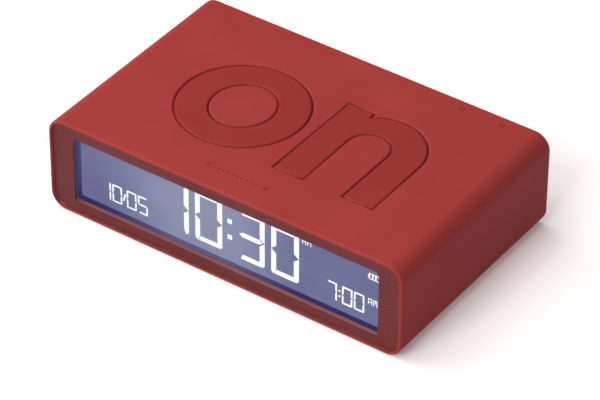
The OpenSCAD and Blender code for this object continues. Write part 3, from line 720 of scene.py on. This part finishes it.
# Backlight
# A white strip with five LEDs feeds a clear light guide from below. A diffuser film in front spreads the
# light and a reflector film behind sends it forward. All of it sits in the display frame.
film_white = moulded(
    "film_white", (0.82, 0.82, 0.82), (0.88, 0.88, 0.88),
    rough=0.5, grain_scale=4000, grain_depth=0.000004)
dress(film_white, "diffuser_film", "reflector_film")
guide_clear = clear_sheet("guide_clear", (0.9, 0.93, 0.95), rough=0.08, index=1.3)
dress(guide_clear, "light_guide")
strip_white = moulded(
    "strip_white", (0.75, 0.75, 0.72), (0.8, 0.8, 0.78),
    rough=0.55, grain_scale=2500, grain_depth=0.00001)
dress(strip_white, "led_strip")
led_yellow = moulded(
    "led_yellow", (0.85, 0.75, 0.4), (0.95, 0.88, 0.6),
    rough=0.3, grain_scale=3000, grain_depth=0.000004)
dress(led_yellow, "backlight_leds")

# Display board and its connections
# Rubber strips with conducting layers join the LCD's contacts to a small circuit board behind the frame.
# A flat amber ribbon in two white connectors joins it to the main board.
band_gloss_scale = 900
band_gloss_detail = 2
band_gloss_spread = 0.05
band_depth = 0.00002
band_strength = 0.4


def bands(finish, scale, axis):
    """Fine lines that follow each other along an axis."""
    wave = add(finish, "TexWave", Scale=scale, Distortion=0.4, Detail=1.0)
    wave.bands_direction = axis
    coords = add(finish, "TexCoord")
    join(finish, coords.outputs["Object"], wave.inputs["Vector"])
    return wave.outputs["Fac"]


def banded(name, first, second, axis, scale, rough, low=0.45, high=0.55):
    """A surface with fine lines in two colours."""
    finish, shader = new_finish(name)
    lines = bands(finish, scale, axis)
    join(finish, two_colours(finish, lines, first, second, low, high), shader.inputs["Base Color"])
    patches = speckle(finish, band_gloss_scale, band_gloss_detail)
    gloss = between(finish, patches, rough - band_gloss_spread, rough + band_gloss_spread)
    join(finish, gloss, shader.inputs["Roughness"])
    grain(finish, shader, lines, band_depth, band_strength)
    return finish


zebra = banded(
    "zebra_rubber", (0.01, 0.01, 0.01), (0.09, 0.09, 0.09),
    axis="Z", scale=1600, rough=0.7)
# Painted glow: a faint blue emission on the rubber strips lightens the shaded gap beside the display.
painted_zebra_glow = (0.05, 0.046, 0.14, 1)
zebra_shader = zebra.node_tree.nodes["Principled BSDF"]
zebra_shader.inputs["Emission Color"].default_value = painted_zebra_glow
zebra_shader.inputs["Emission Strength"].default_value = 1
dress(zebra, "zebra_strips")
solder_mask = banded(
    "solder_mask", (0.008, 0.075, 0.028), (0.016, 0.115, 0.045),
    axis="X", scale=190, rough=0.35, low=0.75, high=0.8)
dress(solder_mask, "display_board", "main_board")
connector_white = moulded(
    "connector_white", (0.74, 0.72, 0.66), (0.8, 0.78, 0.72),
    rough=0.45, grain_scale=3500, grain_depth=0.000006)
dress(connector_white, "ribbon_connectors")
ribbon_amber = banded(
    "ribbon_amber", (0.42, 0.17, 0.025), (0.55, 0.28, 0.06),
    axis="X", scale=330, rough=0.3)
dress(ribbon_amber, "display_ribbon")

# Chassis and main board
# A black moulded tray that slides into the sleeve from the rear and carries the main board on four posts.
# Small steel screws hold the board. The controller, the charger and a clock crystal are soldered to it.
chassis_black = moulded(
    "chassis_black", (0.012, 0.012, 0.013), (0.02, 0.02, 0.021),
    rough=0.6, grain_scale=3000, grain_depth=0.00002)
dress(chassis_black, "chassis")
chip_black = moulded(
    "chip_black", (0.01, 0.01, 0.011), (0.022, 0.022, 0.023),
    rough=0.5, grain_scale=5000, grain_depth=0.00001)
dress(chip_black, "controller_chip", "charger_chip")
zinc = metal(
    "zinc_plated_steel", (0.5, 0.5, 0.52), (0.62, 0.62, 0.63),
    rough=0.32, grain_scale=2200, grain_depth=0.000005)
dress(zinc, "board_screws", "clock_crystal")

# Charging socket
# A drawn steel shell around a black tongue with gold contacts on both sides, soldered to the main board.
# Its mouth is rounded and stands just behind the face of the rear panel.
socket_from_end = 19.5
socket_w = 8.94
socket_h = 3.26
socket_len = 7.3
socket_wall = 0.3
socket_recess = 0.8
socket_x = -body_w / 2 + socket_from_end
socket_mouth_y = rear_y - socket_recess
socket_back_y = socket_mouth_y - socket_len
mouth_r = 0.13
contact_pitch = 0.5
contact_w = 0.25
contact_t = 0.03
contact_start = 1.1
contact_end = 4.6
contact_bevel = contact_t / 3
contact_count = 12
tongue_half_t = 0.35


def obround_ring(w, h, y, x):
    """Points of a slot with round ends, at depth y."""
    return [p + Vector((x, 0, 0)) for p in rounded_ring(w, h, h / 2, y)]


shell = bmesh.new()
mouth_round = quarter_round(mouth_r, lip_steps)
shell_profile = [(0, socket_back_y)]
shell_profile += [(s, socket_mouth_y - d) for s, d in reversed(mouth_round)]
shell_profile += [(socket_wall - s, socket_mouth_y - d) for s, d in mouth_round]
shell_profile.append((socket_wall, socket_back_y))
shell_rings = []
for inset, y in shell_profile:
    points = obround_ring(socket_w - 2 * inset, socket_h - 2 * inset, y, socket_x)
    shell_rings.append(ring_of(shell, points))
for first, second in zip(shell_rings, shell_rings[1:]):
    bridge(shell, first, second)
bridge(shell, shell_rings[-1], shell_rings[0], smooth=False)
nickel = metal(
    "nickel_plated_steel", (0.55, 0.55, 0.56), (0.66, 0.66, 0.66),
    rough=0.25, grain_scale=1800, grain_depth=0.000004)
place_piece("socket_shell_drawn", shell, nickel, "socket_steel", "case", "socket_shell")
dress(chip_black, "socket_tongue")


def slab(bm, low, high, bevel):
    """A small block with bevelled edges."""
    made = bmesh.ops.create_cube(bm, size=1)["verts"]
    size = Vector(high) - Vector(low)
    bmesh.ops.scale(bm, vec=size, verts=made)
    bmesh.ops.translate(bm, vec=(Vector(low) + Vector(high)) / 2, verts=made)
    edges = list({edge for vert in made for edge in vert.link_edges})
    bmesh.ops.bevel(bm, geom=edges, offset=bevel, segments=2, affect="EDGES", profile=0.5)


contacts = bmesh.new()
for i in range(contact_count):
    x = socket_x + (i - (contact_count - 1) / 2) * contact_pitch
    for side in (-1, 1):
        face_z = mid_z + side * tongue_half_t
        z_low, z_high = sorted((face_z, face_z + side * contact_t))
        low = (x - contact_w / 2, socket_mouth_y - contact_end, z_low)
        high = (x + contact_w / 2, socket_mouth_y - contact_start, z_high)
        slab(contacts, low, high, contact_bevel)
gold = metal(
    "contact_gold", (0.78, 0.52, 0.2), (0.86, 0.62, 0.28),
    rough=0.25, grain_scale=2500, grain_depth=0.000003)
place_piece("socket_contacts", contacts, gold, "brass", "case")

# Switches and buttons
# Two tact switches stand on the main board. Round moulded caps with a dished face pass through the rear
# panel and rest on the switch plungers. A flange behind the panel keeps each cap in.
dress(chip_black, "hour_switch", "minute_switch")
dress(connector_white, "hour_plunger", "minute_plunger")
minute_from_end = 12.1
button_pitch = 11.8
panel_recess = 0.6
cap_r = 3
cap_proud = 0.45
cap_flange_reach = 0.85
cap_flange_r = 3.6
cap_flange_t = 0.8
cap_round = 0.35
cap_round_steps = 6
dish_r = 2.3
dish_depth = 0.16
dish_steps = 8
turn_steps = 64
minute_x = body_w / 2 - minute_from_end
hour_x = minute_x - button_pitch
panel_face_y = rear_y - panel_recess
cap_top_y = panel_face_y + cap_proud
cap_front_y = panel_front_y - cap_flange_reach


def circle_ring(x, z, r, y):
    """Points of a circle in X and Z, at depth y."""
    points = []
    for i in range(turn_steps):
        angle = math.tau * i / turn_steps
        points.append(Vector((x + r * math.cos(angle), y, z + r * math.sin(angle))))
    return points


def turned(bm, profile, x, z):
    """A turned form about an axis along Y. The first and last point lie on the axis."""
    made = [ring_of(bm, circle_ring(x, z, r, y)) for r, y in profile[1:-1]]
    for first, second in zip(made, made[1:]):
        bridge(bm, first, second)
    for ring, (_, y) in ((made[0], profile[0]), (made[-1], profile[-1])):
        pole = bm.verts.new((x, y, z))
        for i, vert in enumerate(ring):
            face = bm.faces.new((vert, ring[(i + 1) % turn_steps], pole))
            face.smooth = True


button_finish = moulded(
    "button_red", (0.214, 0.0205, 0.0168), (0.227, 0.0232, 0.0191),
    rough=0.5, grain_scale=6000, grain_depth=0.000006)
for name, x, body in (("hour", hour_x, "hour_key"), ("minute", minute_x, "minute_key")):
    cap = bmesh.new()
    dish = []
    for step in range(dish_steps + 1):
        share = step / dish_steps
        dish.append((dish_r * share, cap_top_y - dish_depth * (1 - share * share)))
    rim = [(cap_r - s, cap_top_y - d) for s, d in quarter_round(cap_round, cap_round_steps)]
    stem = [(cap_r, cap_front_y + cap_flange_t), (cap_flange_r, cap_front_y + cap_flange_t),
            (cap_flange_r, cap_front_y), (0, cap_front_y)]
    turned(cap, dish + rim + stem, x, mid_z)
    bmesh.ops.recalc_face_normals(cap, faces=cap.faces)
    sharp_edges(cap, crease_angle)
    place_piece(name + "_cap", cap, button_finish, "button_red", body, name + "_button")

# Battery
# A flat lithium pouch cell in laminated foil, stuck to the chassis floor with white tape.
# Two nickel tabs rise from its front end to the main board.
foil, foil_shader = new_finish("cell_foil")
crumple = speckle(foil, scale=160, detail=5)
foil_colour = two_colours(foil, crumple, (0.55, 0.56, 0.57), (0.7, 0.7, 0.71))
join(foil, foil_colour, foil_shader.inputs["Base Color"])
join(foil, between(foil, crumple, low=0.25, high=0.45), foil_shader.inputs["Roughness"])
grain(foil, foil_shader, crumple, depth=0.0002, strength=0.3)
foil_shader.inputs["Metallic"].default_value = 0.9
dress(foil, "battery_cell")
dress(film_white, "battery_tape")
brass = metal(
    "brass", (0.6, 0.42, 0.14), (0.7, 0.52, 0.2),
    rough=0.3, grain_scale=1500, grain_depth=0.000005)
dress(brass, "battery_tabs")

# Buzzer and tilt switch
# A brass piezo disc in a black cup sounds the alarm. In a drawn steel can beside it a small ball rolls
# to whichever end is down, and so tells which broad face is up.
dress(chassis_black, "buzzer_housing")
dress(brass, "buzzer_disc", "tilt_ball")
can_steel = metal(
    "can_steel", (0.48, 0.48, 0.5), (0.6, 0.6, 0.61),
    rough=0.35, grain_scale=1200, grain_depth=0.000006)
dress(can_steel, "tilt_can")

# Touch sensing
# Copper foil behind each broad face feels a finger through the plastic.
# A foam block in a woven conductive wrap joins each foil to the main board.
copper = metal(
    "touch_copper", (0.6, 0.27, 0.15), (0.7, 0.34, 0.2),
    rough=0.35, grain_scale=700, grain_depth=0.00001)
dress(copper, "top_touch_plate", "bottom_touch_plate")
weave = banded(
    "conductive_weave", (0.16, 0.16, 0.165), (0.27, 0.27, 0.275),
    axis="DIAGONAL", scale=420, rough=0.6)
dress(weave, "top_touch_foam", "bottom_touch_foam")

# Rear panel
# A moulded matte panel that closes the rear, a little behind the rim, with softly rounded holes for the
# buttons, the socket and the buzzer's sound. Four steel screws in counterbores hold it to the chassis.
panel_round = 0.3
round_steps = 5
hole_lip_r = 0.15
button_hole_r = 3.1
sound_hole_r = 0.6
sound_hole_pitch = 2.6
sound_holes_each_side = 2
screw_x = 47.7
screw_rise = 8.7
counterbore_r = 1.65
counterbore_depth = 0.9
pilot_r = 0.85
hole_gap = 0.1


def round_hole(x, z, r):
    """A round hole: a function that gives its outline, grown by a distance, at depth y."""
    def outline(grow, y):
        return circle_ring(x, z, r + grow, y)
    return outline


def slot_hole(x, w, h):
    """A slot with round ends, in the same way."""
    def outline(grow, y):
        return obround_ring(w + 2 * grow, h + 2 * grow, y, x)
    return outline


def panel_hole(bm, outline, end_y):
    """A hole with a rounded lip down to end_y. Returns its first and last ring."""
    made = []
    for setback, drop in quarter_round(hole_lip_r, lip_steps):
        made.append(ring_of(bm, outline(setback, panel_face_y - drop)))
    made.append(ring_of(bm, outline(0, end_y)))
    for first, second in zip(made, made[1:]):
        bridge(bm, first, second)
    return made[0], made[-1]


panel = bmesh.new()
panel_rings = sheet_rings(panel, lens_w, lens_h, lens_r, [
    *((s, panel_face_y - d) for s, d in quarter_round(panel_round, round_steps)), (0, panel_front_y)])
open_holes = [
    round_hole(hour_x, mid_z, button_hole_r), round_hole(minute_x, mid_z, button_hole_r),
    slot_hole(socket_x, socket_w + 2 * hole_gap, socket_h + 2 * hole_gap)]
for i in range(-sound_holes_each_side, sound_holes_each_side + 1):
    open_holes.append(round_hole(i * sound_hole_pitch, mid_z, sound_hole_r))
face_rims = []
back_rims = []
for outline in open_holes:
    rim, end = panel_hole(panel, outline, panel_front_y)
    face_rims.append(rim)
    back_rims.append(end)
screw_places = [(sx * screw_x, mid_z + sz * screw_rise) for sx in (-1, 1) for sz in (-1, 1)]
seat_y = panel_face_y - counterbore_depth
for x, z in screw_places:
    rim, seat = panel_hole(panel, round_hole(x, z, counterbore_r), seat_y)
    pilot_top = ring_of(panel, circle_ring(x, z, pilot_r, seat_y))
    pilot_end = ring_of(panel, circle_ring(x, z, pilot_r, panel_front_y))
    bridge(panel, seat, pilot_top, smooth=False)
    bridge(panel, pilot_top, pilot_end)
    face_rims.append(rim)
    back_rims.append(pilot_end)
fill(panel, panel_rings[0], *face_rims)
fill(panel, panel_rings[-1], *back_rims)
panel_finish = moulded(
    "panel_red", (0.238, 0.025, 0.0223), (0.253, 0.0277, 0.025),
    rough=0.55, grain_scale=4500, grain_depth=0.00001, shine=0.4)
place_piece("rear_panel_moulding", panel, panel_finish, "panel_red", "case", "rear_panel")

head_r = 1.5
head_h = 0.8
head_round = 0.3
shank_r = 0.8
shank_len = 5
recess_r = 0.65
recess_depth = 0.4
recess_sides = 6
head_crease_angle = 40
screws = bmesh.new()
for x, z in screw_places:
    top_y = seat_y + head_h
    levels = [circle_ring(x, z, head_r - s, top_y - d) for s, d in quarter_round(head_round, round_steps)]
    levels.append(circle_ring(x, z, head_r, seat_y))
    levels.append(circle_ring(x, z, shank_r, seat_y))
    levels.append(circle_ring(x, z, shank_r, seat_y - shank_len))
    made = [ring_of(screws, points) for points in levels]
    for first, second in zip(made, made[1:]):
        bridge(screws, first, second)
    hexagon = arc(x, z, recess_r, 0, 360, recess_sides)[:-1]
    recess_top = ring_of(screws, [Vector((hx, top_y, hz)) for hx, hz in hexagon])
    recess_floor = ring_of(screws, [Vector((hx, top_y - recess_depth, hz)) for hx, hz in hexagon])
    bridge(screws, recess_top, recess_floor, smooth=False)
    fill(screws, made[0], recess_top)
    fill(screws, recess_floor)
    fill(screws, made[-1])
bmesh.ops.recalc_face_normals(screws, faces=screws.faces)
sharp_edges(screws, head_crease_angle)
place_piece("rear_screw_set", screws, zinc, "screw_steel", "case", "rear_screws")

# Floor, light and camera
# A flat white floor with a faint glow, and a dim even surround. Four soft lights shine on the clock: a large
# one from the left above, one from the front, a low one from the left and a weak one from the rear right.
floor_half = 3
floor_z = -0.0001
paper_rough = 0.9
paper_shine = 0.1
paper_glow = (1, 0.73, 0.73, 1)
paper_glow_strength = 0.19
surround_white = (1, 1, 1, 1)
surround_strength = 0.18
light_target = Vector((0, 0, 0.01))
floor_corners = [
    (-floor_half, -floor_half, floor_z), (floor_half, -floor_half, floor_z),
    (floor_half, floor_half, floor_z), (-floor_half, floor_half, floor_z)]
floor_mesh = bpy.data.meshes.new("floor")
floor_mesh.from_pydata(floor_corners, [], [(0, 1, 2, 3)])
floor = bpy.data.objects.new("floor", floor_mesh)
bpy.context.scene.collection.objects.link(floor)
paper, paper_shader = new_finish("paper_white")
paper_drift = speckle(paper, scale=3, detail=2)
paper_colour = two_colours(paper, paper_drift, (0.66, 0.66, 0.66), (0.68, 0.68, 0.68))
join(paper, paper_colour, paper_shader.inputs["Base Color"])
paper_shader.inputs["Roughness"].default_value = paper_rough
paper_shader.inputs["Specular IOR Level"].default_value = paper_shine
paper_shader.inputs["Emission Color"].default_value = paper_glow
paper_shader.inputs["Emission Strength"].default_value = paper_glow_strength
floor_mesh.materials.append(paper)

surround = bpy.data.worlds.new("surround")
surround.use_nodes = True
surround.node_tree.nodes["Background"].inputs["Color"].default_value = surround_white
surround.node_tree.nodes["Background"].inputs["Strength"].default_value = surround_strength
bpy.context.scene.world = surround
bpy.context.scene.view_settings.view_transform = "Standard"


def soft_box(name, place, side, power):
    """A square soft light that faces the clock."""
    light = bpy.data.lights.new(name, "AREA")
    light.shape = "SQUARE"
    light.size = side
    light.energy = power
    lamp = bpy.data.objects.new(name, light)
    lamp.location = place
    lamp.rotation_euler = (light_target - lamp.location).to_track_quat("-Z", "Y").to_euler()
    bpy.context.scene.collection.objects.link(lamp)


soft_box("key", (-0.52, -0.06, 1.23), side=1.35, power=20.3)
soft_box("front_fill", (0.0, -1.1, 0.9), side=0.7, power=16)
soft_box("left_fill", (-1.25, -0.35, 0.36), side=0.6, power=8.5)
soft_box("side_fill", (0.8, 0.9, 0.85), side=0.8, power=1.8)

# The camera stands to the right of the front, above the clock, with a long lens.
camera_place = (0.410516, -0.586606, 0.555203)
image_w = 600
focal_px = 3638.664
azimuth = math.radians(34.949)
elevation = math.radians(37.580)
roll = math.radians(0.399)
camera = bpy.data.cameras.new("camera")
camera.sensor_fit = "HORIZONTAL"
camera.sensor_width = 36
camera.lens = focal_px / image_w * camera.sensor_width
camera.clip_start = 0.01
camera.clip_end = 20
viewer = bpy.data.objects.new("camera", camera)
viewer.matrix_world = (
    Matrix.Translation(camera_place)
    @ Matrix.Rotation(azimuth, 4, "Z")
    @ Matrix.Rotation(quarter - elevation, 4, "X")
    @ Matrix.Rotation(roll, 4, "Z"))
bpy.context.scene.collection.objects.link(viewer)
bpy.context.scene.camera = viewer

bpy.context.view_layer.update()
